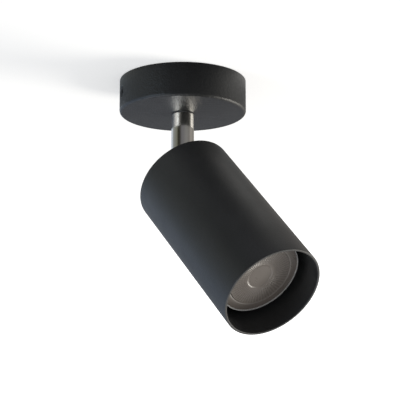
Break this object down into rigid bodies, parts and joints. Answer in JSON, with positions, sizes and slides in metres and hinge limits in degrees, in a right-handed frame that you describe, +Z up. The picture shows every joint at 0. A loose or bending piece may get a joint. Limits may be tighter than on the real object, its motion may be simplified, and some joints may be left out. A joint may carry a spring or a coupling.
{
  "type": "ceiling spotlight",
  "caption": "Ceiling spotlight: round canopy, short turning stem and a tilting cylindrical head, open at the front, with a recessed twist-lock reflector lamp.",
  "frame": {"origin": "centre of the ceiling plane: the middle of the two ceiling slots, on the canopy's axis, level with the canopy's rim", "axes": "+Z up into the ceiling along the canopy's and stem's axis; X along the line of the two ceiling slots and of the canopy's side screws"},
  "size_m": [0.0989, 0.1344, 0.1639],
  "materials": {
    "black_canopy": "matte",
    "black_tube": "matte",
    "black_cap": "matte",
    "black_screw": "satin",
    "satin_nickel": "satin",
    "polished_nickel": "polished",
    "galvanised_steel": "satin",
    "zinc_steel": "satin",
    "spring_steel": "satin",
    "brass": "satin",
    "contact_bronze": "satin",
    "tinned_copper": "satin",
    "black_nylon": "matte",
    "black_rubber": "matte",
    "cable_sheath": "matte",
    "white_polyamide": "satin",
    "brown_insulation": "satin",
    "blue_insulation": "satin",
    "green_yellow_insulation": "satin",
    "white_ceramic": "satin",
    "lamp_shell": "satin",
    "clear_optic": "gloss",
    "pin_nickel": "satin",
    "spreader_aluminium": "satin",
    "led_board": "satin",
    "green_board": "satin"
  },
  "bodies": {
    "canopy": {"ceiling_bracket": "galvanised_steel", "entry_grommet": "black_rubber", "canopy_cup": "black_canopy", "canopy_screws": "black_screw", "stop_pin": "zinc_steel", "terminal_block": "white_polyamide", "terminal_inserts": "brass", "terminal_screws": "zinc_steel", "terminal_fixing_screw": "zinc_steel", "bracket_earth_lug": "tinned_copper", "bracket_earth_screw": "brass", "bracket_earth_lead": "green_yellow_insulation", "canopy_live_lead": "brown_insulation", "canopy_neutral_lead": "blue_insulation", "canopy_earth_lead": "green_yellow_insulation"},
    "stem": {"stem_sleeve": "satin_nickel", "threaded_tube": "zinc_steel", "swivel_washer": "black_nylon", "wave_washer": "spring_steel", "stop_washer": "zinc_steel", "stem_nut": "brass", "stem_cable": "cable_sheath", "knuckle_upper": "satin_nickel"},
    "head": {"head_tube": "black_tube", "rear_cap": "black_cap", "knuckle_lower": "satin_nickel", "pivot_screw": "polished_nickel", "pivot_washer": "black_nylon", "cap_lock_washer": "spring_steel", "cap_nut": "brass", "holder_bracket": "galvanised_steel", "lampholder": "white_ceramic", "holder_contacts": "contact_bronze", "holder_screws": "zinc_steel", "head_cable": "cable_sheath", "head_live_lead": "brown_insulation", "head_neutral_lead": "blue_insulation", "head_earth_lead": "green_yellow_insulation", "head_earth_lug": "tinned_copper", "head_earth_screw": "brass"},
    "lamp": {"lamp_housing": "lamp_shell", "lamp_base": "lamp_shell", "lamp_pins": "pin_nickel", "lamp_lens": "clear_optic", "lamp_heat_spreader": "spreader_aluminium", "lamp_led_board": "led_board", "lamp_driver": "green_board"}
  },
  "joints": [
    {"name": "stem_turn", "type": "hinge", "parent": "canopy", "child": "stem", "pos_m": [0, 0, -0.0208], "axis": [0, 0, 1], "range_deg": [-170, 170]},
    {"name": "head_tilt", "type": "hinge", "parent": "stem", "child": "head", "pos_m": [0, 0, -0.0618], "axis": [-0.9205, -0.3907, 0], "range_deg": [-126, 38]},
    {"name": "lamp_twist", "type": "hinge", "parent": "head", "child": "lamp", "pos_m": [0.01357, -0.03197, -0.09777], "axis": [0.2714, -0.6394, -0.7193], "range_deg": [0, 45]}
  ]
}
